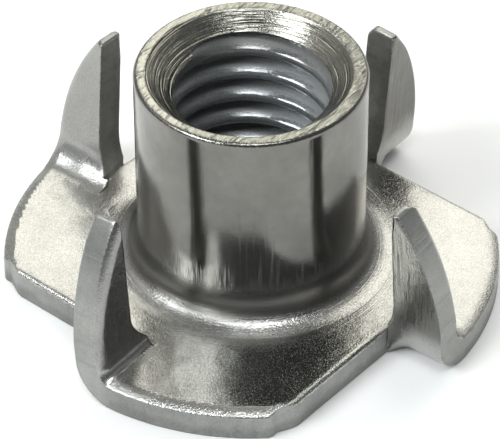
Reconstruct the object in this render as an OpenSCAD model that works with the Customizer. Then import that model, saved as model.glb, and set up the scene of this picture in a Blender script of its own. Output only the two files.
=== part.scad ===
// Four-prong tee nut pressed and tapped from one piece of steel sheet.
// A round flange has four prongs lanced from its rim and folded up beside a drawn barrel.
// Frame: +Z up the barrel, origin at the centre of the flange's underside, millimetres.

/* [Barrel] */
// Outside diameter of the drawn barrel
barrel_d = 10; // [9.4:0.1:10.6]
// Height of the whole nut from the flange's underside to the barrel's rim
nut_h = 11; // [9:0.5:15]
// Radius of the soft edge round the outside of the rim
rim_edge_r = 0.22; // [0.1:0.01:0.25]
// Radius of the drawn root between the barrel and the flange
root_r = 1.35; // [0.8:0.05:1.6]

/* [Bore] */
// Diameter at the crests of the thread, where the tapped wall stands
crest_d = 6.65; // [6:0.05:7.2]
// Diameter of the turned mouth at the rim
mouth_d = 8.9; // [8:0.1:9]
// Depth of the turned mouth
mouth_depth = 1.1; // [0.6:0.05:1.6]
// Radius of the rounded lead-in on the underside
lead_in_r = 1.2; // [0.6:0.05:1.6]

/* [Flange] */
// Diameter over the four lobes
flange_d = 21.8; // [21.4:0.1:24]
// Thickness of the sheet
sheet_t = 1.4; // [1.2:0.05:1.6]
// How far in the rolled-over top edge reaches from the rim
roll_w = 0.5; // [0.3:0.05:0.7]
// How far the rolled-over top edge drops at the rim
roll_drop = 0.22; // [0.15:0.01:0.35]

/* [Prongs] */
// Number of prongs round the flange
prong_count = 4; // [3:1:4]
// Turn of each straight cut away from square to its fold, in degrees
cut_turn = -2.5; // [-5:0.5:0]
// Distance of each straight cut from the barrel's axis
cut_offset = 8.05; // [7.8:0.05:8.5]
// Sheet lost between a cut and the inner edge of its prong
cut_gap = 0.3; // [0.2:0.05:0.6]
// How far in the rolled top edge of a cut reaches
cut_roll_w = 0.26; // [0.1:0.02:0.3]
// How far the rolled top edge of a cut drops
cut_roll_drop = 0.18; // [0.05:0.01:0.25]
// Height of the prong tips above the underside
prong_h = 8.45; // [7:0.05:9]
// Width of the blunt tip
tip_w = 0.4; // [0.2:0.05:0.8]
// How far down the blade the rolled edge of the tip reaches
tip_roll_w = 0.35; // [0.1:0.05:0.5]
// How far the rolled edge of the tip drops
tip_roll_drop = 0.2; // [0.1:0.05:0.4]
// Inside radius of the fold at the foot of each prong
fold_r = 0.4; // [0.3:0.05:0.6]
// Distance from a prong's own radius to where its fold starts
fold_start = 0.85; // [0.7:0.05:1.2]
// How far the rim draws in where the sheet bends
fold_draw = 0.03; // [0.02:0.01:0.1]
// Spring-back that leaves each prong short of upright, in degrees
prong_lean = 4.2; // [1:0.1:6]
// How far the hollow side of the foot widens inwards past the straight cut
foot_flare = 0.3; // [0.1:0.05:0.5]
// Height over which the foot narrows to the blade
flare_h = 1.5; // [1:0.1:2]
// Length along the fold over which its outer face runs out to the square end of the cut
web_l = 1.1; // [0.8:0.1:1.6]
// Length of the corner clipped off each lobe beside the cut
corner_clip = 0.8; // [0.4:0.1:1.4]
// Direction of the first prong's face round the barrel, in degrees
first_prong_turn = -38; // [-90:0.1:90]

/* [Hidden] */
$fn = 96;
steel = [0.78, 0.78, 0.76];
eps = 0.01;
barrel_r = barrel_d / 2;
crest_r = crest_d / 2;
mouth_r = mouth_d / 2;
rim_r = flange_d / 2;
prong_step = 360 / prong_count;
// Each prong is drawn with its face along X, its fold line along X and its cut running out along -Y
fold_angle = 90 - prong_lean;
fold_axis_z = sheet_t + fold_r;
fold_outer_r = sheet_t + fold_r;
foot_u = cut_offset - foot_flare;
blade_u = cut_offset + cut_gap;
// The rim stands this far out round the fold
fold_rim_u = sqrt(pow(rim_r, 2) - pow(fold_start, 2)) - fold_draw;
// Length of the upright blade from the fold's end to the blunt tip
blade_len = (prong_h - fold_axis_z + fold_r * sin(prong_lean)) / cos(prong_lean);
// The blade keeps the flange's own rim arc, whose centre is set by the width of the tip
arc_rise = sqrt(pow(rim_r, 2) - pow(blade_u + tip_w, 2));
arc_centre = blade_len - arc_rise;
// Where the blade's outer face would meet the underside if it ran straight down
face_start = [fold_start - fold_outer_r * cos(prong_lean), fold_axis_z - fold_outer_r * sin(prong_lean)];
face_foot = face_start[0] + face_start[1] * tan(prong_lean);
reach = rim_r + 1;

// Waste outside a convex edge that leaves a flat face w before the corner and drops by d at it
module roll_waste(w, d) {
    r = (w * w + d * d) / (2 * d);
    difference() {
        translate([-w, -r]) square([w + eps, r + eps]);
        translate([-w, -r]) circle(r);
    }
}

// Waste outside a quarter-round of radius r, with its corner at the origin
module round_waste(r) {
    difference() {
        translate([-r, -r]) square([r + eps, r + eps]);
        translate([-r, -r]) circle(r);
    }
}

// Half-section of the drawn blank: sheet, root, barrel wall and rim
module blank_section() {
    difference() {
        union() {
            translate([crest_r, 0]) square([rim_r - crest_r, sheet_t]);
            translate([crest_r, 0]) square([barrel_r - crest_r, nut_h]);
            difference() {
                translate([barrel_r - eps, sheet_t - eps]) square(root_r + eps);
                translate([barrel_r + root_r, sheet_t + root_r]) circle(root_r);
            }
        }
        translate([rim_r, sheet_t]) roll_waste(roll_w, roll_drop);
        translate([barrel_r, nut_h]) round_waste(rim_edge_r);
        translate([crest_r, 0]) mirror([1, 0]) mirror([0, 1]) round_waste(lead_in_r);
        polygon([[crest_r - eps, nut_h - mouth_depth], [mouth_r, nut_h], [crest_r - eps, nut_h + eps]]);
    }
}

// The sheet's rolled rim on its own, for the prongs that were folded out of it
module rim_sheet() {
    rotate_extrude()
        difference() {
            translate([barrel_r, 0]) square([rim_r - barrel_r, sheet_t]);
            translate([rim_r, sheet_t]) roll_waste(roll_w, roll_drop);
        }
}

// Plan of the metal that leaves the flange for one prong
module lance_plan() {
    corner_n = sqrt(pow(rim_r, 2) - pow(cut_offset, 2));
    intersection() {
        translate([0, -reach]) square([reach, reach + fold_start]);
        rotate(cut_turn) translate([cut_offset, -reach]) square([reach, 2 * reach]);
    }
    // The lobe beside the cut loses its sharp corner
    rotate(cut_turn) polygon([
        [cut_offset + eps, corner_clip - corner_n],
        [cut_offset, corner_clip - corner_n],
        [cut_offset - corner_clip / 2, -corner_n],
        [cut_offset - corner_clip / 2, -reach],
        [cut_offset + eps, -reach]
    ]);
}

// The opening left by one prong, with the rolled top edge along its straight cut
module lance_cut() {
    translate([0, 0, -1]) linear_extrude(sheet_t + 2) lance_plan();
    rotate(cut_turn) translate([cut_offset, face_foot, sheet_t]) rotate([90, 0, 0])
        linear_extrude(reach) roll_waste(cut_roll_w, cut_roll_drop);
}

// Bend at the foot of a prong, with the rim's rolled edge carried round it
module prong_fold() {
    translate([0, fold_start, fold_axis_z]) rotate([0, 90, 0])
        rotate_extrude(angle = fold_angle, start = -fold_angle)
            difference() {
                polygon([
                    [fold_r, foot_u], [fold_outer_r, blade_u],
                    [fold_outer_r, fold_rim_u], [fold_r, fold_rim_u]
                ]);
                translate([fold_r, fold_rim_u]) rotate(90) roll_waste(roll_w, roll_drop);
            }
}

// Uncut metal at the inner end of a fold, hollowed where its outer face runs out to the cut
module prong_web() {
    corner_r = fold_outer_r / cos(fold_angle / 2);
    swell = corner_r - fold_outer_r;
    hollow_r = (swell * swell + web_l * web_l) / (2 * swell);
    intersection() {
        translate([cut_offset, 0, 0]) rotate([90, 0, 90]) linear_extrude(web_l)
            polygon([[fold_start, fold_axis_z], [fold_start, 0], [face_foot, 0], face_start]);
        translate([0, fold_start, fold_axis_z]) rotate([0, 90, 0])
            rotate_extrude(angle = fold_angle, start = -fold_angle) difference() {
                translate([fold_r, cut_offset - eps]) square([corner_r - fold_r, web_l + eps]);
                translate([fold_outer_r + hollow_r, cut_offset + web_l]) circle(hollow_r);
            }
    }
}

// Outline of the upright blade: straight inner edge, blunt tip, and the rest left to the rim's arc
module blade_plan() {
    translate([blade_u, -blade_len]) square([fold_rim_u - blade_u, blade_len + eps]);
}

// Widened foot of the blade, hollow towards the barrel and slanted across its thickness
module blade_flare() {
    flare_w = blade_u - foot_u;
    flare_r = (flare_w * flare_w + flare_h * flare_h) / (2 * flare_w);
    intersection() {
        linear_extrude(sheet_t) difference() {
            translate([foot_u, -flare_h]) square([flare_w + eps, flare_h + eps]);
            translate([blade_u - flare_r, -flare_h]) circle(flare_r);
        }
        translate([0, eps, 0]) rotate([90, 0, 0]) linear_extrude(flare_h + 1)
            polygon([[foot_u, sheet_t], [blade_u, 0], [blade_u + 1, 0], [blade_u + 1, sheet_t]]);
    }
}

// One upright blade, cut from the rolled rim sheet turned up about the fold
module prong_blade() {
    translate([0, fold_start, fold_axis_z]) rotate([-fold_angle, 0, 0]) translate([0, 0, -fold_axis_z]) {
        difference() {
            intersection() {
                translate([0, -arc_centre, 0]) rim_sheet();
                translate([0, 0, -1]) linear_extrude(sheet_t + 2) blade_plan();
            }
            translate([0, -blade_len, sheet_t]) rotate([90, 0, -90]) translate([0, 0, -reach])
                linear_extrude(reach) roll_waste(tip_roll_w, tip_roll_drop);
        }
        blade_flare();
    }
}

module tee_nut() {
    color(steel) union() {
        difference() {
            rotate_extrude() blank_section();
            for (i = [0 : prong_count - 1])
                rotate(first_prong_turn + i * prong_step) lance_cut();
        }
        for (i = [0 : prong_count - 1])
            rotate(first_prong_turn + i * prong_step) {
                prong_fold();
                prong_web();
                prong_blade();
            }
    }
}

tee_nut();
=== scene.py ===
"""Dresses a packed four-prong tee nut: its pressed skin, tapped thread, zinc finish and studio."""

import logging
import math
from dataclasses import dataclass, field
from enum import IntEnum
from typing import Callable

import bpy
import numpy as np
from mathutils import Matrix, Vector

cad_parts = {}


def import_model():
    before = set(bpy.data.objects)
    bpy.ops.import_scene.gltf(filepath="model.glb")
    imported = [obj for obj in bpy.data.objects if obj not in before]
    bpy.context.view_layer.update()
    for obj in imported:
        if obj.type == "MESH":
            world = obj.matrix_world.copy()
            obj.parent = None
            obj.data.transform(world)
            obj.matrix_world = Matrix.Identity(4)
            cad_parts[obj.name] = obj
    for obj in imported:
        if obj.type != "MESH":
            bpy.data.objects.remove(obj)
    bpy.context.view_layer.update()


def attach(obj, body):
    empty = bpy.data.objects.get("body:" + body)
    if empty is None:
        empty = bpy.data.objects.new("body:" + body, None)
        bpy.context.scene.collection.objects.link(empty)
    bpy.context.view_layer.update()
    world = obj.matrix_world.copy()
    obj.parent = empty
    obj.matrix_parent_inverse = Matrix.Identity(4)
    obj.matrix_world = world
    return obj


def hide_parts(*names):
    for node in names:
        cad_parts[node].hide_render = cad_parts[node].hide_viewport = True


LOG = logging.getLogger("tee_nut")
MM = 0.001
Array = np.ndarray
Distance = Callable[[Array], Array]
Node = bpy.types.Node
Socket = bpy.types.NodeSocket
Number = Socket | float
Span = tuple[float, float]
Triple = tuple[float, float, float]
Colour = tuple[float, float, float, float]
# Distance past an edge that a point doesn't meet
NOT_HERE = -5.0


# Distance helpers, in millimetres


def round_max(a: Array, b: Array, r: Array | float) -> Array:
    """Keeps what lies inside both fields and rounds the convex edge between them.

    Args:
        a: First signed distance.
        b: Second signed distance.
        r: Radius of the rounded edge.

    Returns:
        The joined signed distance.
    """
    outside = np.hypot(np.maximum(a + r, 0.0), np.maximum(b + r, 0.0))
    return np.minimum(np.maximum(a, b), -r) + outside


def round_min(a: Array, b: Array, r: Array | float) -> Array:
    """Keeps what lies inside either field and fills the corner between them with a fillet.

    Args:
        a: First signed distance.
        b: Second signed distance.
        r: Radius of the fillet.

    Returns:
        The joined signed distance.
    """
    inside = np.hypot(np.maximum(r - a, 0.0), np.maximum(r - b, 0.0))
    return np.maximum(np.minimum(a, b), r) - inside


def rolled(
    height: Array, edge: Array, width: Array | float, drop: Array | float, bevel: Array | float = 0.0
) -> Array:
    """Bends a sheet's top skin down towards an edge, as blanking leaves it.

    Args:
        height: Height above the flat skin.
        edge: Distance past the edge, negative on the sheet.
        width: How far in from the edge the bend reaches.
        drop: How far the skin has dropped at the edge.
        bevel: How far the bend is a straight bevel, from 0 to 1.

    Returns:
        Signed distance above the rolled skin.
    """
    radius = (width * width + drop * drop) / (2.0 * drop)
    arc = np.hypot(edge + width, np.maximum(height + radius, 0.0)) - radius
    straight = height + (edge + width) * drop / width
    return np.where(edge > -width, arc + (straight - arc) * bevel, height)


def ramp(value: Array, start: float, end: float) -> Array:
    """Smooth step from 0 at start to 1 at end."""
    t = np.clip((value - start) / (end - start), 0.0, 1.0)
    return t * t * (3.0 - 2.0 * t)


# Sub-assemblies


@dataclass(frozen=True)
class Place:
    """Sample points in the nut's own coordinates, in millimetres.

    r and z are the distance from the barrel's axis and the height. u runs out along the nearest
    prong's face and n runs square to it, anticlockwise seen from above. prong is its number.
    """

    r: Array
    z: Array
    azimuth: Array
    u: Array
    n: Array
    prong: Array


@dataclass(frozen=True)
class Flange:
    """Round pressed flange with four lanced lobes.

    Lengths are in millimetres and cut_turn in degrees. The straight cut's rolled edge fades in
    along it from cut_roll_start to cut_roll_full.
    """

    rim_r: float = 10.898
    sheet_t: float = 1.4
    roll_w: float = 0.5
    roll_drop: float = 0.22
    roll_bevel: float = 0.65
    cut_turn: float = -2.5
    cut_offset: float = 8.05
    cut_roll_w: float = 0.26
    cut_roll_drop: float = 0.18
    cut_roll_start: float = -0.45
    cut_roll_full: float = -1.25
    corner_clip: float = 0.8
    corner_r: float = 0.1
    burr_r: float = 0.05

    def cut(self, at: Place) -> tuple[Array, Array]:
        """Position of each point against its straight cut.

        Args:
            at: Sample points.

        Returns:
            Distance past the cut, and position along it.
        """
        turn = math.radians(self.cut_turn)
        across = at.u * math.cos(turn) + at.n * math.sin(turn) - self.cut_offset
        along = at.n * math.cos(turn) - at.u * math.sin(turn)
        return across, along

    def top(self, at: Place) -> Array:
        """Signed distance above the flange's top skin, with the rolled edges.

        Args:
            at: Sample points.

        Returns:
            Signed distance.
        """
        height = at.z - self.sheet_t
        across, _ = self.cut(at)
        rim = rolled(height, at.r - self.rim_r, self.roll_w, self.roll_drop, self.roll_bevel)
        lobe = rolled(height, across, self.cut_roll_w, self.cut_roll_drop)
        end = ramp(at.n, self.cut_roll_start, self.cut_roll_full)
        return np.maximum(rim, height + (lobe - height) * end)

    def side(self, at: Place, fold_start: float) -> Array:
        """Signed distance outside the flange's outline: rim, straight cuts and clipped corners.

        Args:
            at: Sample points.
            fold_start: Where the folds leave the flat sheet.

        Returns:
            Signed distance in the plane of the sheet.
        """
        across, along = self.cut(at)
        lance = np.minimum(across, fold_start - at.n)
        corner = math.sqrt(self.rim_r**2 - self.cut_offset**2)
        lean = math.atan2(self.corner_clip / 2, self.corner_clip)
        clip = across * math.cos(lean) - (along + corner - self.corner_clip) * math.sin(lean)
        clip = np.minimum(clip, across + self.corner_clip / 2)
        lance = round_max(lance, np.minimum(clip, fold_start - at.n), self.corner_r)
        return round_max(at.r - self.rim_r, lance, self.corner_r)


@dataclass(frozen=True)
class Bent:
    """Position against one prong's fold and blade, in the sheet's own directions."""

    skin: Array
    outer: Array
    rim: Array
    inner: Array
    tip: Array
    rise: Array


@dataclass(frozen=True)
class Prong:
    """One prong lanced from the flange, folded up and left a little short of upright.

    Lengths are in millimetres and lean in degrees. The tuples of four follow the prongs
    anticlockwise from the front right one. The hollow of each bend, the metal trimmed from its
    inner edge and the way its tip was rolled over differ.
    """

    height: float = 8.45
    cut_gap: float = 0.3
    edge_round: float = 0.08
    tip_w: float = 0.34
    tip_roll_w: tuple[float, ...] = (0.9, 0.7, 0.3, 0.6)
    tip_roll_drop: tuple[float, ...] = (0.7, 0.5, 0.2, 0.42)
    tip_round: float = 0.2
    tip_soft: Span = (-1.4, -0.3)
    hollow_r: tuple[float, ...] = (0.6, 0.6, 1.3, 0.45)
    trim: tuple[float, ...] = (0.05, 0.0, 0.0, 0.28)
    trim_rise: Span = (-0.2, 1.4)
    dented: tuple[float, ...] = (0.4, 0.4, 0.7, 0.3)
    fold_r: float = 0.4
    fold_start: float = 0.85
    lean: float = 4.2
    foot_flare: float = 0.3
    flare_h: float = 1.5
    web_l: float = 1.1
    strip_in: float = 0.6
    strip_out: float = 0.8
    roll_growth: float = 0.1
    roll_growth_h: float = 2.5

    def bend(self, at: Place, sheet: Flange) -> Bent:
        """Unrolls the fold and the blade.

        Args:
            at: Sample points.
            sheet: The flange that the prong is folded from.

        Returns:
            Signed distances past the blade's skin, outer face, rim, inner edge and tip, and the
            height up the blade from the fold's end.
        """
        # The fold turns about its own axis and the blade stands on the fold's end
        t = sheet.sheet_t
        outer_r = self.fold_r + t
        turn = math.radians(90.0 - self.lean)
        dn = at.n - self.fold_start
        dz = at.z - outer_r
        rho = np.hypot(dn, dz)
        phi = np.arctan2(-dn, -dz)
        in_fold = (phi >= 0.0) & (phi <= turn)
        on_blade = (phi > turn) & (dn <= 0.0)
        face = -dn * math.sin(turn) - dz * math.cos(turn) - outer_r
        rise = -dn * math.cos(turn) + dz * math.sin(turn)

        # Uncut metal at the fold's inner end bulges the outer face there
        web_u = sheet.cut_offset + self.web_l
        swell = outer_r / math.cos(turn / 2) - outer_r
        hollow_r = (swell**2 + self.web_l**2) / (2 * swell)
        reach = np.clip(web_u - at.u, 0.0, self.web_l)
        web = outer_r + hollow_r - np.sqrt(hollow_r**2 - reach**2)
        outer = np.maximum(-at.z, face)
        outer = np.where(in_fold, np.maximum(outer, rho - web), outer)
        height = round_min(at.z - t, -t - face, np.take(self.hollow_r, at.prong))

        # The blade's back is the flange's own rim, turned up with it
        lean = math.radians(self.lean)
        blade_l = (self.height - outer_r + self.fold_r * math.sin(lean)) / math.cos(lean)
        blade_u = sheet.cut_offset + self.cut_gap
        arc_y = blade_l - math.sqrt(sheet.rim_r**2 - (blade_u + self.tip_w) ** 2)
        fold_rim = math.sqrt(sheet.rim_r**2 - self.fold_start**2)
        bent = np.maximum(np.hypot(at.u, np.maximum(rise, 0.0) - arc_y) - sheet.rim_r, at.u - fold_rim)
        rim = np.where(on_blade | in_fold, bent, at.r - sheet.rim_r)
        rim = np.where(in_fold, at.u - fold_rim, rim)
        tip = np.where(on_blade, rise - blade_l, NOT_HERE)

        # The inner edge flares towards the barrel at its foot
        flare_w = self.cut_gap + self.foot_flare
        flare_r = (flare_w**2 + self.flare_h**2) / (2 * flare_w)
        left = np.clip(self.flare_h - np.maximum(rise, 0.0), 0.0, self.flare_h)
        taper = (flare_r - np.sqrt(flare_r**2 - left**2)) / flare_w
        share = np.clip(np.where(in_fold, outer_r - rho, -face) / t, 0.0, 1.0)
        foot = blade_u - (self.cut_gap + self.foot_flare * share) * np.where(in_fold, 1.0, taper)
        foot = foot + np.take(self.trim, at.prong) * ramp(rise, *self.trim_rise) * on_blade
        inner = np.where(on_blade | in_fold, foot - at.u, sheet.cut_offset - self.strip_in - at.u)

        # The skin is rolled over along the rim, more so up the blade, and at the tip
        grown = np.where(on_blade, ramp(rise, 0.0, self.roll_growth_h), 0.0)
        drop = sheet.roll_drop + self.roll_growth * grown
        skin = rolled(height, rim, sheet.roll_w, drop, sheet.roll_bevel * (1.0 - grown))
        roll_w = np.take(self.tip_roll_w, at.prong)
        skin = np.maximum(skin, rolled(height, tip, roll_w, np.take(self.tip_roll_drop, at.prong)))
        return Bent(skin=skin, outer=outer, rim=rim, inner=inner, tip=tip, rise=rise)

    def distance(self, at: Place, sheet: Flange) -> Array:
        """Signed distance to the fold and blade, and to the strip of flange that they grow from.

        Args:
            at: Sample points.
            sheet: The flange that the prong is folded from.

        Returns:
            Signed distance.
        """
        part = self.bend(at, sheet)
        solid = round_max(part.skin, part.rim, sheet.burr_r)
        solid = round_max(solid, part.inner, self.edge_round)
        solid = round_max(solid, part.tip, self.tip_round)
        soft = sheet.burr_r + (self.tip_round - sheet.burr_r) * ramp(part.tip, *self.tip_soft)
        solid = round_max(solid, part.outer, soft)
        return np.maximum(solid, at.n - self.fold_start - self.strip_out)


@dataclass(frozen=True)
class Thread:
    """Right-hand metric thread tapped through the barrel.

    On the left its groove fades out over the last length, fade, below top. fade_from and fade_full
    are the azimuths, in degrees either way from the right, where that begins and is complete.
    """

    pitch: float = 1.25
    major_r: float = 4.0
    root_flat: float = 0.16
    phase: float = 0.27
    crest_round: float = 0.16
    top: float = 9.98
    fade: float = 0.7
    fade_from: float = 95.0
    fade_full: float = 165.0

    def wall(self, at: Place, crest_r: float) -> Array:
        """Radius of the tapped wall at each point.

        Args:
            at: Sample points.
            crest_r: Radius at the thread's crests.

        Returns:
            Wall radius in millimetres.
        """
        turn = at.z / self.pitch - at.azimuth / (2 * math.pi) + self.phase
        off = np.abs(turn - np.round(turn)) * self.pitch
        start = ramp(np.abs(at.azimuth), math.radians(self.fade_from), math.radians(self.fade_full))
        depth = (self.major_r - crest_r) * (1.0 - start * ramp(at.z, self.top - self.fade, self.top))
        flank = (self.root_flat / 2 - off) * math.sqrt(3.0) + depth
        lifted = 0.5 * (flank + np.sqrt(flank * flank + self.crest_round * self.crest_round))
        return crest_r + np.minimum(lifted, depth)


@dataclass(frozen=True)
class Barrel:
    """Drawn barrel with its turned rim, mouth and rounded lead-in.

    mouth_shift is how far the mouth sits to the right of the axis. flank_slope eases the field's
    slope on the thread's steep flanks.
    """

    outer_r: float = 5.0
    height: float = 10.999
    rim_edge_r: float = 0.22
    root_r: float = 1.35
    crest_r: float = 3.325
    mouth_r: float = 4.45
    mouth_depth: float = 1.1
    mouth_shift: float = -0.08
    lead_in_r: float = 1.2
    flank_slope: float = 0.8
    thread: Thread = field(default_factory=Thread)

    def outside(self, at: Place) -> Array:
        """Signed distance outside the barrel's wall and rim."""
        return round_max(at.r - self.outer_r, at.z - self.height, self.rim_edge_r)

    def mouth(self, at: Place) -> Array:
        """Signed distance into the turned mouth's cone, positive in the void.

        Args:
            at: Sample points.

        Returns:
            Signed distance.
        """
        lean = math.atan2(self.mouth_r - self.crest_r, self.mouth_depth)
        r = at.r - self.mouth_shift * np.cos(at.azimuth)
        return (self.mouth_r - r) * math.cos(lean) - (self.height - at.z) * math.sin(lean)

    def lead_in(self, at: Place) -> Array:
        """Signed distance below the underside and its rounded lead-in to the bore."""
        return round_max(-at.z, self.crest_r - at.r, self.lead_in_r)

    def bore(self, at: Place) -> Array:
        """Signed distance into the thread and the mouth, positive in the void."""
        return np.maximum((self.thread.wall(at, self.crest_r) - at.r) * self.flank_slope, self.mouth(at))


# Meshing


@dataclass(frozen=True)
class Skin:
    """A closed mesh taken from a distance field."""

    points: Array
    quads: Array


@dataclass(frozen=True)
class Mesher:
    """Dual contouring: one corner per surface cell, set on the field's own edges and faces.

    Lengths are in millimetres and crease is the angle at which normals split, in degrees.
    """

    cell: float = 0.105
    block: int = 5
    low: Triple = (-11.13, -11.13, -0.17)
    high: Triple = (11.1, 11.1, 11.2)
    crease: float = 24.0
    probe: float = 0.004
    block_reach: float = 1.25
    search_steps: int = 4
    search_guard: float = 0.02
    stiffness: float = 0.01
    polish_steps: int = 2
    polish_reach: float = 0.03
    inset: float = 0.4

    def gradient(self, distance: Distance, points: Array) -> Array:
        """Unit gradient of the field at each point.

        Args:
            distance: The field.
            points: Points of shape (N, 3).

        Returns:
            Unit vectors of shape (N, 3).
        """
        grad = np.empty_like(points)
        for axis in range(3):
            shift = np.zeros(3)
            shift[axis] = self.probe
            grad[:, axis] = distance(points + shift) - distance(points - shift)
        return grad / np.maximum(np.linalg.norm(grad, axis=1, keepdims=True), 1e-12)

    def sample(self, distance: Distance) -> tuple[Array, Array, tuple[int, int, int]]:
        """Field values on the grid, worked out finely only in blocks near the surface.

        Args:
            distance: The field.

        Returns:
            Values, the grid's lowest corner and its shape.
        """
        low = np.array(self.low)
        blocks = np.ceil((np.array(self.high) - low) / (self.cell * self.block)).astype(int)
        side = self.cell * self.block
        shape = tuple(int(n) * self.block for n in blocks)
        corner = np.stack(np.meshgrid(*[np.arange(n) for n in blocks], indexing="ij"), axis=-1)
        corner = corner.reshape(-1, 3)
        middle = distance(low + (corner + 0.5) * side)
        values = np.repeat(np.where(middle < 0, -1.0, 1.0), self.block**3)
        values = values.reshape(*blocks, self.block, self.block, self.block)
        near = np.abs(middle) < side * self.block_reach
        inside = np.stack(np.meshgrid(*[np.arange(self.block)] * 3, indexing="ij"), axis=-1)
        inside = inside.reshape(1, -1, 3)
        fine = low + (corner[near][:, None, :] * self.block + inside) * self.cell
        found = distance(fine.reshape(-1, 3)).reshape(-1, self.block, self.block, self.block)
        values[tuple(corner[near].T)] = found
        return values.transpose(0, 3, 1, 4, 2, 5).reshape(shape), low, shape

    def crossings(
        self, distance: Distance, values: Array, low: Array, axis: int
    ) -> tuple[Array, Array, Array]:
        """Where the surface crosses the grid's edges along one axis.

        Args:
            distance: The field.
            values: Field values on the grid.
            low: The grid's lowest corner.
            axis: 0, 1 or 2.

        Returns:
            Grid nodes before each crossing, whether the field rises there, and the crossing points.
        """
        ahead = np.moveaxis(values, axis, 0)
        mask = np.moveaxis((ahead[:-1] < 0) != (ahead[1:] < 0), 0, axis)
        nodes = np.stack(np.nonzero(mask), axis=1)
        far = nodes.copy()
        far[:, axis] += 1
        d0 = values[tuple(nodes.T)]
        d1 = values[tuple(far.T)]
        rises = d0 < 0
        a = np.zeros(len(nodes))
        b = np.ones(len(nodes))
        base = low + nodes * self.cell
        for _ in range(self.search_steps):
            t = a + (b - a) * np.clip(d0 / (d0 - d1), self.search_guard, 1.0 - self.search_guard)
            point = base.copy()
            point[:, axis] += t * self.cell
            d = distance(point)
            before = (d < 0) == (d0 < 0)
            a = np.where(before, t, a)
            b = np.where(before, b, t)
            d0 = np.where(before, d, d0)
            d1 = np.where(before, d1, d)
        return nodes, rises, point

    def build(self, distance: Distance) -> Skin:
        """Meshes the field.

        Args:
            distance: The field, negative inside.

        Returns:
            The closed mesh.
        """
        values, low, shape = self.sample(distance)
        cells, quads_at, points, normals = [], [], [], []
        around = {
            0: [(0, -1, -1), (0, 0, -1), (0, 0, 0), (0, -1, 0)],
            1: [(-1, 0, -1), (-1, 0, 0), (0, 0, 0), (0, 0, -1)],
            2: [(-1, -1, 0), (0, -1, 0), (0, 0, 0), (-1, 0, 0)],
        }
        for axis in range(3):
            nodes, rises, point = self.crossings(distance, values, low, axis)
            corners = nodes[:, None, :] + np.array(around[axis])[None, :, :]
            ids = np.ravel_multi_index(tuple(np.moveaxis(corners, 2, 0)), shape)
            quads_at.append(np.where(rises[:, None], ids, ids[:, ::-1]))
            cells.append(ids.ravel())
            points.append(np.repeat(point, 4, axis=0))
            normals.append(np.repeat(self.gradient(distance, point), 4, axis=0))
        names, index = np.unique(np.concatenate(cells), return_inverse=True)
        index = index.reshape(-1)
        where = np.concatenate(points)
        normal = np.concatenate(normals)
        quads = np.searchsorted(names, np.concatenate(quads_at))
        verts = self.settle(names, index, where, normal, low, shape)
        for _ in range(self.polish_steps):
            off = distance(verts)
            near = np.abs(off) < self.polish_reach
            verts = verts - np.where(near, off, 0.0)[:, None] * self.gradient(distance, verts)
        return Skin(verts, quads)

    def settle(
        self,
        names: Array,
        index: Array,
        where: Array,
        normal: Array,
        low: Array,
        shape: tuple[int, int, int],
    ) -> Array:
        """Places each cell's corner where the planes through its crossings best meet.

        Args:
            names: Grid numbers of the surface cells.
            index: Cell of each crossing.
            where: Crossing points.
            normal: Field normals at the crossings.
            low: The grid's lowest corner.
            shape: The grid's shape.

        Returns:
            One point per cell.
        """
        count = len(names)
        number = np.bincount(index, minlength=count).astype(float)
        middle = np.stack([np.bincount(index, where[:, i], count) for i in range(3)], axis=1)
        middle = middle / number[:, None]
        gap = np.einsum("ij,ij->i", normal, where - middle[index])
        right = np.stack([np.bincount(index, normal[:, i] * gap, count) for i in range(3)], axis=1)
        left = np.empty((count, 3, 3))
        for i in range(3):
            for j in range(3):
                left[:, i, j] = np.bincount(index, normal[:, i] * normal[:, j], count)
        left += np.eye(3)[None] * (self.stiffness * number)[:, None, None]
        move = np.linalg.solve(left, right[:, :, None])[:, :, 0]
        cell_low = low + np.stack(np.unravel_index(names, shape), axis=1) * self.cell
        return np.clip(middle + move, cell_low, cell_low + self.cell)

    def corner_normals(self, distance: Distance, verts: Array, faces: Array) -> Array:
        """Normals that stay smooth over a face and split at a crease.

        Args:
            distance: The field.
            verts: Mesh points.
            faces: Corner numbers of triangles.

        Returns:
            Unit normals of shape (faces * 3, 3).
        """
        centre = verts[faces].mean(axis=1)
        face = self.gradient(distance, centre)
        corner = self.gradient(distance, verts)[faces]
        agree = np.einsum("fij,fj->fi", corner, face)
        sharp = agree < math.cos(math.radians(self.crease))
        inward = verts[faces] + (centre[:, None, :] - verts[faces]) * self.inset
        picked = inward[sharp]
        if len(picked):
            corner[sharp] = self.gradient(distance, picked)
        return corner.reshape(-1, 3)


# Finish


class Surface(IntEnum):
    """How each part of the surface was made, in the order of the material slots."""

    SKIN = 0
    SHEARED = 1
    TURNED = 2
    TAPPED = 3


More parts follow.
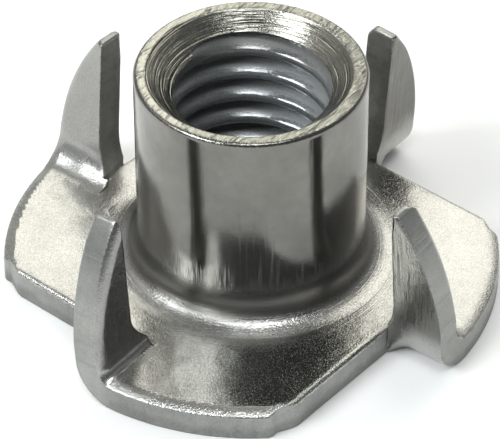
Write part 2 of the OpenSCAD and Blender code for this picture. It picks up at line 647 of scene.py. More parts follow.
class Graph:
    """A node tree with short ways to add and join nodes."""

    def __init__(self, tree: bpy.types.NodeTree) -> None:
        """Wraps a node tree."""
        self.tree = tree

    def add(self, kind: str, **settings: object) -> Node:
        """Adds a node.

        Args:
            kind: The node's type.
            settings: Properties of the node.

        Returns:
            The new node.
        """
        node = self.tree.nodes.new(kind)
        for name, value in settings.items():
            setattr(node, name, value)
        return node

    def join(self, source: Socket, target: Socket) -> None:
        """Joins an output to an input."""
        self.tree.links.new(source, target)

    def feed(self, target: Socket, value: Number | Colour) -> None:
        """Joins or sets one input.

        Args:
            target: The input.
            value: An output socket, or a constant.
        """
        if isinstance(value, bpy.types.NodeSocket):
            self.join(value, target)
        else:
            target.default_value = value

    def math(self, operation: str, first: Number, second: Number) -> Socket:
        """Arithmetic on two values.

        Args:
            operation: The operation.
            first: First value.
            second: Second value.

        Returns:
            The result.
        """
        node = self.add("ShaderNodeMath", operation=operation)
        self.feed(node.inputs[0], first)
        self.feed(node.inputs[1], second)
        return node.outputs[0]

    def plus(self, first: Number, second: Number) -> Socket:
        """Sum of two values."""
        return self.math("ADD", first, second)

    def minus(self, first: Number, second: Number) -> Socket:
        """First value less the second."""
        return self.math("SUBTRACT", first, second)

    def times(self, first: Number, second: Number) -> Socket:
        """Product of two values."""
        return self.math("MULTIPLY", first, second)

    def larger(self, first: Number, second: Number) -> Socket:
        """Larger of two values."""
        return self.math("MAXIMUM", first, second)

    def remap(self, value: Socket, low: float, high: float, to_low: float, to_high: float) -> Socket:
        """Clamped linear remap.

        Args:
            value: Value to remap.
            low: Value that gives to_low.
            high: Value that gives to_high.
            to_low: Result at low.
            to_high: Result at high.

        Returns:
            The result.
        """
        node = self.add("ShaderNodeMapRange")
        self.join(value, node.inputs["Value"])
        for name, number in zip(("From Min", "From Max", "To Min", "To Max"), (low, high, to_low, to_high)):
            node.inputs[name].default_value = number
        return node.outputs["Result"]

    def blend(self, share: Number, first: Socket | Colour, second: Colour) -> Socket:
        """Blends two colours. A Mix node's colour sockets follow its number and vector ones.

        Args:
            share: How far the colour has gone to the second, from 0 to 1.
            first: First colour.
            second: Second colour.

        Returns:
            The blended colour.
        """
        node = self.add("ShaderNodeMix", data_type="RGBA")
        self.feed(node.inputs[0], share)
        self.feed(node.inputs[6], first)
        self.feed(node.inputs[7], second)
        return node.outputs[2]

    def split(self, vector: Socket) -> Node:
        """Splits a vector.

        Args:
            vector: The vector.

        Returns:
            The node, with the outputs X, Y and Z.
        """
        node = self.add("ShaderNodeSeparateXYZ")
        self.join(vector, node.inputs["Vector"])
        return node

    def scaled(self, vector: Socket, scale: Triple, turn: float = 0.0) -> Socket:
        """Turns a vector about Z and then scales it.

        Args:
            vector: The vector.
            scale: Factors along the turned axes.
            turn: Angle in degrees.

        Returns:
            The new vector.
        """
        spin = self.add("ShaderNodeMapping")
        spin.inputs["Rotation"].default_value[2] = math.radians(turn)
        self.join(vector, spin.inputs["Vector"])
        grow = self.add("ShaderNodeMapping")
        grow.inputs["Scale"].default_value = scale
        self.join(spin.outputs["Vector"], grow.inputs["Vector"])
        return grow.outputs["Vector"]

    def noise(self, vector: Socket, scale: Number, detail: float, rough: float = 0.5) -> Socket:
        """Fractal noise from 0 to 1.

        Args:
            vector: Where to sample it.
            scale: Cells per unit.
            detail: Number of finer layers.
            rough: Strength of the finer layers.

        Returns:
            The noise.
        """
        node = self.add("ShaderNodeTexNoise")
        self.join(vector, node.inputs["Vector"])
        self.feed(node.inputs["Scale"], scale)
        node.inputs["Detail"].default_value = detail
        node.inputs["Roughness"].default_value = rough
        return node.outputs["Fac"]

    def mask(self, name: str) -> Socket:
        """Reads one of the skin's own masks."""
        return self.add("ShaderNodeAttribute", attribute_name=name).outputs["Fac"]

    def shear(self) -> Socket:
        """Reads the place on a sheared edge: along it, up it, and how far through the sheet."""
        return self.add("ShaderNodeAttribute", attribute_name="shear").outputs["Vector"]

    def use(self, group: bpy.types.NodeTree, **values: Number) -> Node:
        """Uses a node group.

        Args:
            group: The group.
            values: Its inputs by name.

        Returns:
            The group node.
        """
        node = self.add("ShaderNodeGroup", node_tree=group)
        for name, value in values.items():
            self.feed(node.inputs[name], value)
        return node

    def millimetres(self) -> Socket:
        """The nut's own coordinates in millimetres."""
        where = self.add("ShaderNodeTexCoord")
        return self.scaled(where.outputs["Object"], (1 / MM, 1 / MM, 1 / MM))


class Effects:
    """Shader groups that the finishes share."""

    def __init__(self) -> None:
        """Builds the groups."""
        self.grain = self.build_grain()
        self.marks = self.build_marks()
        self.rings = self.build_rings()
        self.tone = self.build_tone()

    def group(
        self, name: str, inputs: tuple[str, ...], outputs: tuple[str, ...]
    ) -> tuple[Graph, Node, Node]:
        """Starts a node group.

        Args:
            name: The group's name.
            inputs: Input names: Vector is a vector and the rest are values.
            outputs: Output names, all values.

        Returns:
            The graph, its input node and its output node.
        """
        tree = bpy.data.node_groups.new(name, "ShaderNodeTree")
        for label in inputs:
            kind = "NodeSocketVector" if label == "Vector" else "NodeSocketFloat"
            tree.interface.new_socket(label, in_out="INPUT", socket_type=kind)
        for label in outputs:
            tree.interface.new_socket(label, in_out="OUTPUT", socket_type="NodeSocketFloat")
        graph = Graph(tree)
        return graph, graph.add("NodeGroupInput"), graph.add("NodeGroupOutput")

    def build_grain(self) -> bpy.types.NodeTree:
        """Crystal grain of the plating, with a finer speckle for its tone.

        Returns:
            The group, with Height and Speckle from 0 to 1.
        """
        g, start, end = self.group("plating_grain", ("Vector", "Size"), ("Height", "Speckle"))
        vector, size = start.outputs["Vector"], start.outputs["Size"]
        g.join(g.noise(vector, size, 3.0, 0.7), end.inputs["Height"])
        fine = g.noise(vector, g.times(size, 1.7), 2.0, 0.7)
        g.join(g.remap(fine, 0.36, 0.64, 0.0, 1.0), end.inputs["Speckle"])
        return g.tree

    def build_rings(self) -> bpy.types.NodeTree:
        """Tool marks that run round the barrel's axis, Pitch marks to the millimetre.

        Returns:
            The group, with Height and Deep from 0 to 1.
        """
        g, start, end = self.group("ring_marks", ("Vector", "Pitch", "Depth"), ("Height", "Deep"))
        level = g.add("ShaderNodeVectorMath", operation="MULTIPLY")
        g.join(start.outputs["Vector"], level.inputs[0])
        level.inputs[1].default_value = (1.0, 1.0, 0.0)
        length = g.add("ShaderNodeVectorMath", operation="LENGTH")
        g.join(level.outputs["Vector"], length.inputs[0])
        unit = g.add("ShaderNodeVectorMath", operation="NORMALIZE")
        g.join(level.outputs["Vector"], unit.inputs[0])
        depth = g.add("ShaderNodeCombineXYZ")
        g.join(g.times(length.outputs["Value"], start.outputs["Pitch"]), depth.inputs["Z"])
        ring = g.add("ShaderNodeVectorMath", operation="MULTIPLY_ADD")
        g.join(unit.outputs["Vector"], ring.inputs[0])
        ring.inputs[1].default_value = (1.6, 1.6, 1.6)
        g.join(depth.outputs["Vector"], ring.inputs[2])
        marks = g.use(self.marks, Vector=ring.outputs["Vector"], Depth=start.outputs["Depth"])
        g.join(marks.outputs["Height"], end.inputs["Height"])
        g.join(marks.outputs["Deep"], end.inputs["Deep"])
        return g.tree

    def build_marks(self) -> bpy.types.NodeTree:
        """Tool marks: fine scratches with a few deep ones, along the vector's short axis.

        Returns:
            The group, with Height and Deep from 0 to 1.
        """
        g, start, end = self.group("tool_marks", ("Vector", "Depth"), ("Height", "Deep"))
        vector = start.outputs["Vector"]
        fine = g.noise(vector, 1.0, 2.0, 0.6)
        broad = g.noise(vector, 0.31, 1.0)
        deep = g.remap(g.noise(vector, 0.55, 1.0), 0.6, 0.72, 0.0, 1.0)
        mixed = g.plus(g.times(fine, 0.6), g.times(broad, 0.6))
        mixed = g.minus(mixed, g.times(deep, 0.5))
        g.join(g.times(mixed, start.outputs["Depth"]), end.inputs["Height"])
        g.join(deep, end.inputs["Deep"])
        return g.tree

    def build_tone(self) -> bpy.types.NodeTree:
        """Uneven tone of handled plating, from broad clouds to small blotches.

        Returns:
            The group, with Value from 0 to 1.
        """
        g, start, end = self.group("handling_tone", ("Vector",), ("Value",))
        cloud = g.noise(start.outputs["Vector"], 0.35, 2.0)
        blotch = g.noise(start.outputs["Vector"], 1.9, 3.0, 0.6)
        both = g.plus(g.times(cloud, 0.65), g.times(blotch, 0.35))
        g.join(g.remap(both, 0.34, 0.66, 0.0, 1.0), end.inputs["Value"])
        return g.tree


@dataclass(frozen=True)
class Plating:
    """What every finish of the nut shares: bright zinc over steel.

    In each finish a size or scale is in marks to the millimetre and a depth in millimetres. A roughness,
    tone, share toward the dark colour, painted shade or painted light is what a full mask adds.
    """

    name: str = "zinc_skin"
    light: Colour = (0.52, 0.52, 0.50, 1.0)
    dark: Colour = (0.335, 0.33, 0.315, 1.0)
    # Dark colour for stains and for painted shade alike
    stain_and_shade: Colour = (0.125, 0.12, 0.108, 1.0)
    speckle: float = 0.6
    metallic: float = 1.0

    def start(self) -> tuple[bpy.types.Material, Graph, Node]:
        """Makes the material, with its metal switched on.

        Returns:
            The material, its graph and its shader.
        """
        mat = bpy.data.materials.new(self.name)
        mat.use_nodes = True
        shader = mat.node_tree.nodes["Principled BSDF"]
        shader.inputs["Metallic"].default_value = self.metallic
        return mat, Graph(mat.node_tree), shader

    def colour(self, g: Graph, shader: Node, tone: Socket, speckle: Socket, stain_and_shade: Number = 0.0) -> None:
        """Runs the colour from dark to light over the tone and the speckle, and darkens it with stains and
        painted shade.

        Args:
            g: The material's graph.
            shader: The shader to colour.
            tone: Broad tone from 0 to 1.
            speckle: Fine speckle from 0 to 1.
            stain_and_shade: How far the colour has gone to the dark colour of stains and painted shade, from
                0 to 1.
        """
        both = g.plus(g.times(tone, 1.0 - self.speckle), g.times(speckle, self.speckle))
        clean = g.blend(both, self.dark, self.light)
        g.join(g.blend(stain_and_shade, clean, self.stain_and_shade), shader.inputs["Base Color"])

    def relief(self, g: Graph, shader: Node, layers: tuple[tuple[Socket, float], ...]) -> None:
        """Stacks bump layers.

        Args:
            g: The material's graph.
            shader: The shader whose normal they bend.
            layers: Heights from 0 to 1, each with its depth in millimetres.
        """
        normal = None
        for height, depth in layers:
            bump = g.add("ShaderNodeBump")
            bump.inputs["Strength"].default_value = 1.0
            bump.inputs["Distance"].default_value = depth * MM
            g.join(height, bump.inputs["Height"])
            if normal is not None:
                g.join(normal, bump.inputs["Normal"])
            normal = bump.outputs["Normal"]
        g.join(normal, shader.inputs["Normal"])


@dataclass(frozen=True)
class SkinFinish(Plating):
    """Rolled sheet and drawn barrel: grain on the flat, faint upright draw lines on the barrel."""

    grain_size: float = 8.5
    grain_depth: float = 0.008
    root_grain: float = 1.5
    salt_size: float = 21.0
    salt_depth: float = 0.0028
    edge_size: float = 13.0
    edge_depth: float = 0.024
    wave_size: float = 0.9
    wave_depth: float = 0.03
    dent_size: float = 0.7
    dent_depth: float = 0.22
    line_scale: Triple = (9.0, 9.0, 0.35)
    line_depth: float = 0.002
    ring_size: float = 13.0
    ring_depth: float = 0.014
    score_scale: Triple = (8.0, 0.55, 1.0)
    score_depth: float = 0.024
    drawn_smooth: float = 0.8
    drawn_plain: float = 0.7
    score_tone: float = -0.5
    # Painted shade: the drawn tone and share darken the barrel, standing in for the shaded floor that it
    # mirrors
    drawn_painted_shade: float = -0.75
    # Painted shade: the corner tone and share darken the root corner between flange and barrel
    corner_painted_shade: float = -1.6
    drawn_shade_share: Span = (0.76, 0.5)
    corner_shade_share: float = 0.85
    upright_stain: float = 0.34
    galled_stain: float = 0.5
    roughness: float = 0.17
    drawn_roughness: float = -0.03
    rolled_roughness: float = 0.07
    corner_roughness: float = 0.16
    root_roughness: float = -0.06
    worked_roughness: float = 0.16
    tone_roughness: float = -0.05
    line_roughness: float = 0.05

    def material(self, effects: Effects) -> bpy.types.Material:
        """Builds the material.

        Args:
            effects: The shared shader groups.

        Returns:
            The material.
        """
        mat, g, shader = self.start()
        where = g.millimetres()
        drawn, corner, root = g.mask("drawn"), g.mask("corner"), g.mask("root")
        worked, edge = g.mask("worked"), g.mask("rolled")
        upright, galled = g.mask("upright"), g.mask("galled")
        grain = g.use(effects.grain, Vector=where, Size=self.grain_size)
        tone = g.use(effects.tone, Vector=where).outputs["Value"]
        lines = g.use(effects.marks, Vector=g.scaled(where, self.line_scale), Depth=drawn)
        rings = g.use(effects.rings, Vector=where, Pitch=self.ring_size, Depth=root)
        scores = g.use(effects.marks, Vector=g.scaled(g.shear(), self.score_scale), Depth=galled)

        shade = g.plus(tone, g.times(g.times(scores.outputs["Deep"], galled), self.score_tone))
        # Painted shade: the barrel is darkened in tone and blended towards the dark colour
        shade = g.plus(shade, g.times(drawn, self.drawn_painted_shade))
        # Painted shade in the root corner, in tone and, below, towards the dark colour
        shade = g.plus(shade, g.times(corner, self.corner_painted_shade))
        speckle = g.times(grain.outputs["Speckle"], g.minus(1.0, g.times(drawn, self.drawn_plain)))
        stain_and_shade = g.times(drawn, g.remap(tone, 0.0, 1.0, *self.drawn_shade_share))
        stain_and_shade = g.larger(g.times(corner, self.corner_shade_share), stain_and_shade)
        blade = g.plus(g.times(upright, self.upright_stain), g.times(galled, self.galled_stain))
        self.colour(g, shader, shade, speckle, g.larger(stain_and_shade, blade))

        rough = g.plus(self.roughness, g.times(drawn, self.drawn_roughness))
        rough = g.plus(rough, g.times(edge, self.rolled_roughness))
        rough = g.plus(rough, g.times(corner, self.corner_roughness))
        rough = g.plus(rough, g.times(root, self.root_roughness))
        rough = g.plus(rough, g.times(worked, self.worked_roughness))
        rough = g.plus(rough, g.times(g.minus(tone, 0.5), self.tone_roughness))
        rough = g.plus(rough, g.times(lines.outputs["Deep"], self.line_roughness))
        g.join(rough, shader.inputs["Roughness"])

        flat = g.minus(1.0, g.times(drawn, self.drawn_smooth))
        rising = g.plus(flat, g.times(root, self.root_grain))
        salt = g.remap(g.noise(where, self.salt_size, 1.0), 0.6, 0.74, 0.0, 1.0)
        self.relief(g, shader, (
            (g.times(g.noise(where, self.dent_size, 0.0), worked), self.dent_depth),
            (g.times(g.noise(where, self.wave_size, 1.0), flat), self.wave_depth),
            (g.times(grain.outputs["Height"], rising), self.grain_depth),
            (g.times(salt, flat), self.salt_depth),
            (g.times(g.noise(where, self.edge_size, 1.0), edge), self.edge_depth),
            (lines.outputs["Height"], self.line_depth),
            (rings.outputs["Height"], self.ring_depth),
            (scores.outputs["Height"], self.score_depth),
        ))
        return mat


@dataclass(frozen=True)
class ShearedFinish(Plating):
    """Blanked edge: streaks through the sheet, bright where it sheared and dull where it tore."""

    name: str = "zinc_sheared_edge"
    light: Colour = (0.38, 0.382, 0.365, 1.0)
    dark: Colour = (0.215, 0.217, 0.205, 1.0)
    speckle: float = 0.35
    metallic: float = 0.75
    streak_scale: Triple = (4.5, 4.5, 0.9)
    streak_depth: float = 0.011
    streak_tone: float = -0.25
    wander_scale: Triple = (1.2, 1.2, 0.2)
    wander: float = 0.5
    torn_from: float = 0.78
    torn_full: float = 0.98
    torn_tone: float = -0.45
    torn_roughness: float = 0.14
    grain_size: float = 7.0
    grain_depth: float = 0.012
    grain_share: float = 0.25
    roughness: float = 0.33
    speckle_roughness: float = 0.05

    def material(self, effects: Effects) -> bpy.types.Material:
        """Builds the material.

        Args:
            effects: The shared shader groups.

        Returns:
            The material.
        """
        mat, g, shader = self.start()
        where = g.millimetres()
        shear = g.shear()
        streak = g.use(effects.marks, Vector=g.scaled(shear, self.streak_scale), Depth=1.0)
        grain = g.use(effects.grain, Vector=where, Size=self.grain_size)
        wander = g.times(g.noise(g.scaled(shear, self.wander_scale), 1.0, 2.0), self.wander)
        through = g.plus(g.split(shear).outputs["Z"], wander)
        torn = g.remap(through, self.torn_from, self.torn_full, 0.0, 1.0)

        tone = g.plus(g.use(effects.tone, Vector=where).outputs["Value"], g.times(torn, self.torn_tone))
        tone = g.plus(tone, g.times(streak.outputs["Deep"], self.streak_tone))
        self.colour(g, shader, tone, grain.outputs["Speckle"])

        rough = g.plus(self.roughness, g.times(torn, self.torn_roughness))
        rough = g.plus(rough, g.times(grain.outputs["Speckle"], self.speckle_roughness))
        g.join(rough, shader.inputs["Roughness"])

        crumbs = g.times(grain.outputs["Height"], g.plus(self.grain_share, torn))
        self.relief(g, shader, ((streak.outputs["Height"], self.streak_depth), (crumbs, self.grain_depth)))
        return mat


@dataclass(frozen=True)
class TurnedFinish(Plating):
    """Faced rim with slanting cutter marks, and the mouth's cone with fine rings, darkened with painted
    shade.
    """

    name: str = "zinc_turned_rim"
    light: Colour = (0.57, 0.565, 0.49, 1.0)
    dark: Colour = (0.34, 0.335, 0.30, 1.0)
    rim_z: float = 10.93
    rim_blend: float = 0.03
    hatch_scale: Triple = (1.5, 8.0, 1.0)
    hatch_turn: float = -52.0
    hatch_left: float = -4.0
    hatch_right: float = 4.5
    hatch_least: float = 0.25
    hatch_depth: float = 0.3
    hatch_tone: float = -1.2
    ring_size: float = 15.0
    ring_depth: float = 0.07
    grain_size: float = 6.5
    grain_depth: float = 0.012
    # Painted shade: the cone tone and share darken the mouth's cone for the dark bore it mirrors
    cone_painted_shade: float = -0.6
    cone_shade_share: float = 0.4
    roughness: float = 0.17
    rim_roughness: float = 0.12
    speckle_roughness: float = 0.06

    def material(self, effects: Effects) -> bpy.types.Material:
        """Builds the material.

        Args:
            effects: The shared shader groups.

        Returns:
            The material.
        """
        mat, g, shader = self.start()
        where = g.millimetres()
        place = g.split(where)
        rim = g.remap(place.outputs["Z"], self.rim_z, self.rim_z + self.rim_blend, 0.0, 1.0)
        cone = g.minus(1.0, rim)
        right = g.remap(place.outputs["X"], self.hatch_left, self.hatch_right, self.hatch_least, 1.0)
        slant = g.scaled(where, self.hatch_scale, self.hatch_turn)
        hatch = g.use(effects.marks, Vector=slant, Depth=right)
        rings = g.use(effects.rings, Vector=where, Pitch=self.ring_size, Depth=cone)
        grain = g.use(effects.grain, Vector=where, Size=self.grain_size)

        scored = g.times(g.times(hatch.outputs["Deep"], rim), right)
        tone = g.use(effects.tone, Vector=where).outputs["Value"]
        tone = g.plus(tone, g.times(scored, self.hatch_tone))
        # Painted shade darkens the cone in tone and towards the dark colour
        tone = g.plus(tone, g.times(cone, self.cone_painted_shade))
        self.colour(g, shader, tone, grain.outputs["Speckle"], g.times(cone, self.cone_shade_share))

        rough = g.plus(self.roughness, g.times(grain.outputs["Speckle"], self.speckle_roughness))
        rough = g.plus(rough, g.times(rim, self.rim_roughness))
        g.join(rough, shader.inputs["Roughness"])

        self.relief(g, shader, (
            (g.times(hatch.outputs["Height"], rim), self.hatch_depth),
            (rings.outputs["Height"], self.ring_depth),
            (grain.outputs["Height"], self.grain_depth),
        ))
        return mat


@dataclass(frozen=True)
class TappedFinish(Plating):
    """Tapped thread: smooth crests, a little duller and cooler than the skin, with painted light in the
    grooves and painted shade near the mouth.
    """

    name: str = "zinc_tapped_thread"
    light: Colour = (0.31, 0.325, 0.33, 1.0)
    dark: Colour = (0.16, 0.17, 0.175, 1.0)
    metallic: float = 0.55
    mark_scale: Triple = (0.5, 0.5, 9.0)
    mark_depth: float = 0.006
    grain_size: float = 6.0
    grain_depth: float = 0.01
    tone_share: float = 0.6
    # Painted light brightens the grooves
    groove_painted_light: float = 1.4
    # Painted shade darkens the thread towards the mouth, from mouth_from to mouth_full
    mouth_from: float = 9.0
    mouth_full: float = 9.7
    mouth_shade_share: float = 0.6
    roughness: float = 0.08
    groove_roughness: float = 0.3
    speckle_roughness: float = 0.06

    def material(self, effects: Effects) -> bpy.types.Material:
        """Builds the material.

        Args:
            effects: The shared shader groups.

        Returns:
            The material.
        """
        mat, g, shader = self.start()
        where = g.millimetres()
        groove = g.mask("groove")
        marks = g.use(effects.marks, Vector=g.scaled(where, self.mark_scale), Depth=1.0)
        grain = g.use(effects.grain, Vector=where, Size=self.grain_size)

        # Painted shade: the thread darkens towards the mouth
        stain_and_shade = g.remap(g.split(where).outputs["Z"], self.mouth_from, self.mouth_full, 0.0, self.mouth_shade_share)
        tone = g.times(g.use(effects.tone, Vector=where).outputs["Value"], self.tone_share)
        # Painted light: the grooves are lightened
        tone = g.plus(tone, g.times(groove, self.groove_painted_light))
        self.colour(g, shader, tone, grain.outputs["Speckle"], stain_and_shade)

        rough = g.plus(self.roughness, g.times(groove, self.groove_roughness))
        rough = g.plus(rough, g.times(grain.outputs["Speckle"], self.speckle_roughness))
        g.join(rough, shader.inputs["Roughness"])

        self.relief(g, shader, (
            (marks.outputs["Height"], self.mark_depth),
            (grain.outputs["Height"], self.grain_depth),
        ))
        return mat


# The whole nut


@dataclass(frozen=True)
class Zones:
    """Where each mark of the pressing, and the painted shade in the root corner, fades from nothing to full,
    in millimetres.

    A span ending in h is a height above the flange's top skin, and one ending in z is a height
    above the underside. worked spans the distance from a fold's own axis.
    """

    drawn_h: Span = (1.2, 2.2)
    # The corner spans place the painted shade in the root corner
    corner_foot_h: Span = (0.2, 0.45)
    corner_top_h: Span = (1.9, 1.2)
    corner_r: Span = (4.5, 6.3)
    root_h: Span = (1.6, 0.9)
    root_in_r: Span = (5.05, 5.5)
    root_out_r: Span = (7.2, 6.2)
    root_low_z: float = 1.0
    groove_depth: Span = (0.12, 0.4)
    upright_rise: Span = (-0.2, 1.2)
    galled_rise: Span = (0.0, 0.8)
    worked: Span = (3.4, 1.0)
    worked_u: Span = (6.2, 7.6)
    worked_n: Span = (3.4, 2.4)
    edge: Span = (-0.55, -0.1)
    edge_on_blade: float = 0.35
    rim_z: Span = (10.7, 10.9)
    rim_share: float = 0.5
    blade_margin: float = 0.002
    cone_margin: float = 0.01
    land_depth: float = 0.05
    land_inset: float = 0.154


@dataclass(frozen=True)
class TeeNut:
    """The whole pressed nut."""

    flange: Flange = field(default_factory=Flange)
    prong: Prong = field(default_factory=Prong)
    barrel: Barrel = field(default_factory=Barrel)
    zones: Zones = field(default_factory=Zones)
    finishes: tuple[Plating, ...] = (SkinFinish(), ShearedFinish(), TurnedFinish(), TappedFinish())
    first_prong_turn: float = -38.0
    prong_count: int = 4
    sector_low: float = -62.0
    under_edge_r: float = 0.05
    bore_edge_r: float = 0.04
    most_triangles: int = 185000

    def place(self, points: Array) -> Place:
        """Coordinates of each point against the axis and its nearest prong.

        Args:
            points: Points of shape (N, 3) in millimetres.

        Returns:
            The points in the nut's own coordinates.
        """
        x, y, z = points.T
        azimuth = np.arctan2(y, x)
        step = 2 * math.pi / self.prong_count
        low = math.radians(self.sector_low)
        past = azimuth - math.radians(self.first_prong_turn) - low
        near = np.mod(past, step) + low
        number = np.mod(np.floor(past / step).astype(int), self.prong_count)
        r = np.hypot(x, y)
        return Place(r=r, z=z, azimuth=azimuth, u=r * np.cos(near), n=r * np.sin(near), prong=number)

    def skin(self, at: Place) -> Array:
        """Signed distance above the pressed top: flange, root and barrel wall."""
        return round_min(self.flange.top(at), self.barrel.outside(at), self.barrel.root_r)

    def distance(self, points: Array) -> Array:
        """Signed distance to the nut's surface, negative in the metal.

        Args:
            points: Points of shape (N, 3) in millimetres.

        Returns:
            Signed distance.
        """
        at = self.place(points)
        side = self.flange.side(at, self.prong.fold_start)
        body = round_max(self.skin(at), side, self.flange.burr_r)
        body = round_max(body, -at.z, self.under_edge_r)
        metal = np.minimum(body, self.prong.distance(at, self.flange))
        metal = round_max(metal, self.barrel.bore(at), self.bore_edge_r)
        return np.maximum(metal, self.barrel.lead_in(at))

    def traits(self, points: Array) -> dict[str, Array]:
        """How the surface was made at each point, and its place on a sheared edge.

        Args:
            points: Points on the surface, in millimetres.

        Returns:
            The kind of surface, the masks for each mark, for the painted shade in the root corner and for
            the painted light in the grooves, and the shear coordinates.
        """
        at = self.place(points)
        zones = self.zones
        height = at.z - self.flange.sheet_t
        skin = self.skin(at)
        side = self.flange.side(at, self.prong.fold_start)
        part = self.prong.bend(at, self.flange)
        cut = np.maximum(np.maximum(part.rim, part.inner), part.tip)
        body = np.maximum(np.maximum(skin, side), -at.z)
        blade = np.maximum(np.maximum(part.skin, part.outer), cut)
        on_blade = (blade < body - zones.blade_margin) & (at.n < self.prong.fold_start)
        faces = np.where(on_blade, np.maximum(part.skin, part.outer), np.maximum(skin, -at.z))
        kind = np.where(np.where(on_blade, cut, side) > faces, Surface.SHEARED, Surface.SKIN)
        bore = self.barrel.bore(at)
        in_bore = (bore > np.minimum(body, blade)) & (bore > self.barrel.lead_in(at))
        turned = self.barrel.mouth(at) >= bore - zones.cone_margin
        kind = np.where(in_bore, np.where(turned, Surface.TURNED, Surface.TAPPED), kind)
        land = at.z > self.barrel.height - zones.land_depth
        land = land & (at.r < self.barrel.outer_r - zones.land_inset)
        kind = np.where(land, Surface.TURNED, kind)
        through = np.where(on_blade, -part.skin, -height) / self.flange.sheet_t
        edge = ramp(np.where(on_blade, cut, side), *zones.edge)
        edge = edge * np.where(on_blade, zones.edge_on_blade, 1.0)
        # The corner mask places painted shade in the root fillet's corner
        corner = ramp(height, *zones.corner_top_h) * ramp(height, *zones.corner_foot_h)
        root = ramp(at.r, *zones.root_in_r) * ramp(at.r, *zones.root_out_r) * ramp(height, *zones.root_h)
        fold = np.hypot(at.n - self.prong.fold_start, height - self.prong.fold_r)
        worked = ramp(fold, *zones.worked) * ramp(at.u, *zones.worked_u) * ramp(at.n, *zones.worked_n)
        return {
            "kind": kind,
            "drawn": ramp(height, *zones.drawn_h) * (at.r < self.barrel.outer_r + self.barrel.root_r),
            "corner": corner * (at.r > zones.corner_r[0]) * (at.r < zones.corner_r[1]),
            "root": root * (at.z > zones.root_low_z),
            "groove": ramp(at.r - self.barrel.crest_r, *zones.groove_depth),
            "upright": on_blade * ramp(part.rise, *zones.upright_rise),
            "galled": (on_blade & (part.outer > part.skin)) * ramp(part.rise, *zones.galled_rise),
            "worked": worked * np.take(self.prong.dented, at.prong),
            "rolled": np.maximum(edge, zones.rim_share * ramp(at.z, *zones.rim_z)),
            "shear": np.stack([
                np.where(on_blade, at.u, points[:, 0]),
                np.where(on_blade, part.rise, points[:, 1]),
                np.clip(through, 0.0, 1.0),
            ], axis=1),
        }

    def build(self, mesher: Mesher) -> bpy.types.Object:
        """Builds the nut's mesh object.

        Args:
            mesher: The mesher to use.

        Returns:
            The new object, in metres.
        """
        obj = bpy.data.objects.new("tee_nut_skin", self.thinned(mesher.build(self.distance)))
        bpy.context.scene.collection.objects.link(obj)
        mesh = obj.data
        count = len(mesh.polygons)
        points = np.empty(len(mesh.vertices) * 3, dtype=np.float32)
        mesh.vertices.foreach_get("co", points)
        points = points.reshape(-1, 3).astype(float) / MM
        corners = np.empty(count * 3, dtype=np.int32)
        mesh.loops.foreach_get("vertex_index", corners)
        corners = corners.reshape(-1, 3)
        effects = Effects()
        for finish in self.finishes:
            mesh.materials.append(finish.material(effects))
        kind = self.traits(points[corners].mean(axis=1))["kind"]
        mesh.polygons.foreach_set("material_index", kind.astype(np.int32))
        mesh.polygons.foreach_set("use_smooth", np.ones(count, dtype=bool))
        traits = self.traits(points)
        # corner carries painted shade and groove painted light, beside the real marks
        for name in ("drawn", "corner", "root", "upright", "galled", "worked", "rolled", "groove"):
            mask = mesh.attributes.new(name, "FLOAT", "POINT")
            mask.data.foreach_set("value", traits[name].astype(np.float32))
        shear = mesh.attributes.new("shear", "FLOAT_VECTOR", "POINT")
        shear.data.foreach_set("vector", traits["shear"].astype(np.float32).ravel())
        normals = mesher.corner_normals(self.distance, points, corners)
        mesh.normals_split_custom_set(normals.astype(np.float32))
        mesh.update()
        LOG.info("tee_nut_skin: %d triangles, %d points", count, len(points))
        return obj

    def thinned(self, skin: Skin) -> bpy.types.Mesh:
        """Turns the skin into a mesh and merges triangles where it is nearly flat.

        Args:
            skin: The closed skin, in millimetres.

        Returns:
            A mesh of triangles, in metres.
        """
        count = len(skin.quads)
        mesh = bpy.data.meshes.new("tee_nut_skin")
        mesh.vertices.add(len(skin.points))
        mesh.vertices.foreach_set("co", (skin.points * MM).astype(np.float32).ravel())
        mesh.loops.add(count * 4)
        mesh.loops.foreach_set("vertex_index", skin.quads.astype(np.int32).ravel())
        mesh.polygons.add(count)
        mesh.polygons.foreach_set("loop_start", np.arange(0, count * 4, 4, dtype=np.int32))
        mesh.update(calc_edges=True)
        raw = bpy.data.objects.new("raw_skin", mesh)
        bpy.context.scene.collection.objects.link(raw)
        thin = raw.modifiers.new("thin", "DECIMATE")
        thin.ratio = min(1.0, self.most_triangles / (2.0 * count))
        thin.use_collapse_triangulate = True
        graph = bpy.context.evaluated_depsgraph_get()
        result = bpy.data.meshes.new_from_object(raw.evaluated_get(graph))
        bpy.data.objects.remove(raw)
        bpy.data.meshes.remove(mesh)
        result.name = "tee_nut_skin"
        return result


# Studio


@dataclass(frozen=True)
class Lamp:
    """A soft rectangular lamp that faces the nut. Angles are in degrees and lengths in metres."""

    name: str
    azimuth: float
    elevation: float
    distance: float
    width: float
    height: float
    radiance: float
    colour: Triple = (1.0, 1.0, 1.0)
    fill_only: bool = False
    aim: Triple = (0.0, 0.0, 0.004)

    def build(self) -> bpy.types.Object:
        """Builds the lamp.

        Returns:
            The lamp.
        """
        data = bpy.data.lights.new(self.name, "AREA")
        data.shape = "RECTANGLE"
        data.size = self.width
        data.size_y = self.height
        data.color = self.colour
        data.energy = self.radiance * math.pi * self.width * self.height
        obj = bpy.data.objects.new(self.name, data)
        bpy.context.scene.collection.objects.link(obj)
        az, el = math.radians(self.azimuth), math.radians(self.elevation)
        away = Vector((math.cos(el) * math.cos(az), math.cos(el) * math.sin(az), math.sin(el)))
        obj.location = Vector(self.aim) + away * self.distance
        obj.rotation_euler = away.to_track_quat("Z", "Y").to_euler()
        obj.visible_glossy = not self.fill_only
        return obj


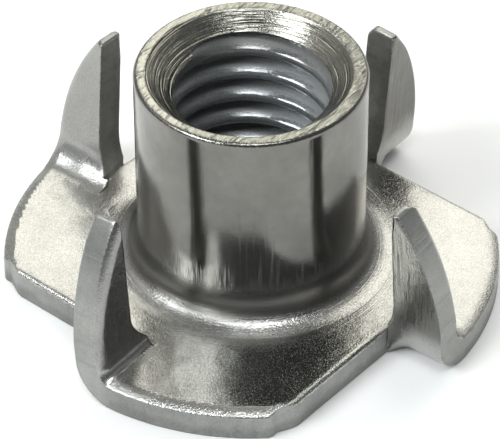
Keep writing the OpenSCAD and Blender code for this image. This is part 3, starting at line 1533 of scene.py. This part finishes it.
@dataclass(frozen=True)
class Studio:
    """Pale floor, soft lamps and the photograph's camera, whose place is in millimetres."""

    floor_colour: Colour = (0.95, 0.95, 0.95, 1.0)
    floor_roughness: float = 0.9
    floor_reach: float = 1.2
    floor_gap: float = 0.00002
    lamps: tuple[Lamp, ...] = (
        Lamp("back_panel", 77.0, 43.0, 0.40, 0.38, 0.32, 1.58, (1.0, 0.985, 0.89)),
        Lamp("left_lamp", 213.0, 43.0, 0.30, 0.16, 0.11, 11.0, (0.94, 0.985, 1.0)),
        Lamp("left_panel", 172.0, 40.0, 0.35, 0.23, 0.13, 0.7, (1.0, 0.99, 0.95)),
        Lamp("front_lamp", -80.0, 68.0, 0.30, 0.12, 0.08, 8.0, (0.97, 1.0, 1.0)),
        Lamp("floor_fill", 88.0, 58.0, 0.50, 0.5, 0.5, 0.6, fill_only=True),
    )
    sky_dark: Colour = (0.15, 0.158, 0.16, 1.0)
    sky_pale: Colour = (0.62, 0.62, 0.60, 1.0)
    sky_toward: Span = (0.75, 0.66)
    sky_dark_end: float = 0.35
    horizon: Colour = (0.52, 0.52, 0.51, 1.0)
    horizon_h: float = 0.33
    lens: float = 237.84
    camera_place: Triple = (-0.0635, -110.1539, 96.2826)
    camera_right: Triple = (0.9999956, -0.0019276, -0.0022704)
    camera_up: Triple = (0.0029783, 0.6471957, 0.7623181)
    camera_back: Triple = (0.0, -0.7623215, 0.6471986)

    def build(self) -> bpy.types.Object:
        """Builds the floor, lamps, world and camera.

        Returns:
            The floor.
        """
        reach = self.floor_reach
        mesh = bpy.data.meshes.new("floor")
        corners = [(-reach, -reach, 0), (reach, -reach, 0), (reach, reach, 0), (-reach, reach, 0)]
        mesh.from_pydata(corners, [], [(0, 1, 2, 3)])
        floor = bpy.data.objects.new("floor", mesh)
        bpy.context.scene.collection.objects.link(floor)
        floor.location.z = -self.floor_gap
        mesh.materials.append(self.floor_material())
        for lamp in self.lamps:
            lamp.build()
        self.sky()
        self.camera()
        return floor

    def floor_material(self) -> bpy.types.Material:
        """Plain pale floor paint.

        Returns:
            The material.
        """
        mat = bpy.data.materials.new("floor_paint")
        mat.use_nodes = True
        bsdf = mat.node_tree.nodes["Principled BSDF"]
        bsdf.inputs["Base Color"].default_value = self.floor_colour
        bsdf.inputs["Roughness"].default_value = self.floor_roughness
        return mat

    def sky(self) -> None:
        """Lights a room that is dim in front of the nut and pale behind it and along the horizon."""
        world = bpy.data.worlds.new("studio")
        world.use_nodes = True
        g = Graph(world.node_tree)
        way = g.split(g.add("ShaderNodeTexCoord").outputs["Generated"])
        behind, above = self.sky_toward
        toward = g.plus(g.times(way.outputs["Y"], behind), g.times(way.outputs["Z"], above))
        room = g.blend(g.remap(toward, self.sky_dark_end, 1.0, 0.0, 1.0), self.sky_dark, self.sky_pale)
        low = g.remap(way.outputs["Z"], 0.0, self.horizon_h, 1.0, 0.0)
        background = world.node_tree.nodes["Background"]
        g.join(g.blend(low, room, self.horizon), background.inputs["Color"])
        bpy.context.scene.world = world

    def camera(self) -> None:
        """Puts the camera at the photograph's own place and angle."""
        data = bpy.data.cameras.new("camera")
        data.sensor_fit = "HORIZONTAL"
        data.sensor_width = 36.0
        data.lens = self.lens
        data.clip_start = 0.01
        data.clip_end = 5.0
        obj = bpy.data.objects.new("camera", data)
        turn = Matrix((self.camera_right, self.camera_up, self.camera_back)).transposed().to_4x4()
        obj.matrix_world = Matrix.Translation(Vector(self.camera_place) * MM) @ turn
        bpy.context.scene.collection.objects.link(obj)
        bpy.context.scene.camera = obj


def main() -> None:
    """Builds the scene."""
    logging.basicConfig(level=logging.INFO, format="%(name)s: %(message)s")
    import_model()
    bpy.context.scene.view_settings.view_transform = "Standard"
    nut = TeeNut().build(Mesher())
    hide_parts("tee_nut")
    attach(nut, "root")
    Studio().build()
    LOG.info("studio ready")


if __name__ == "__main__":
    main()
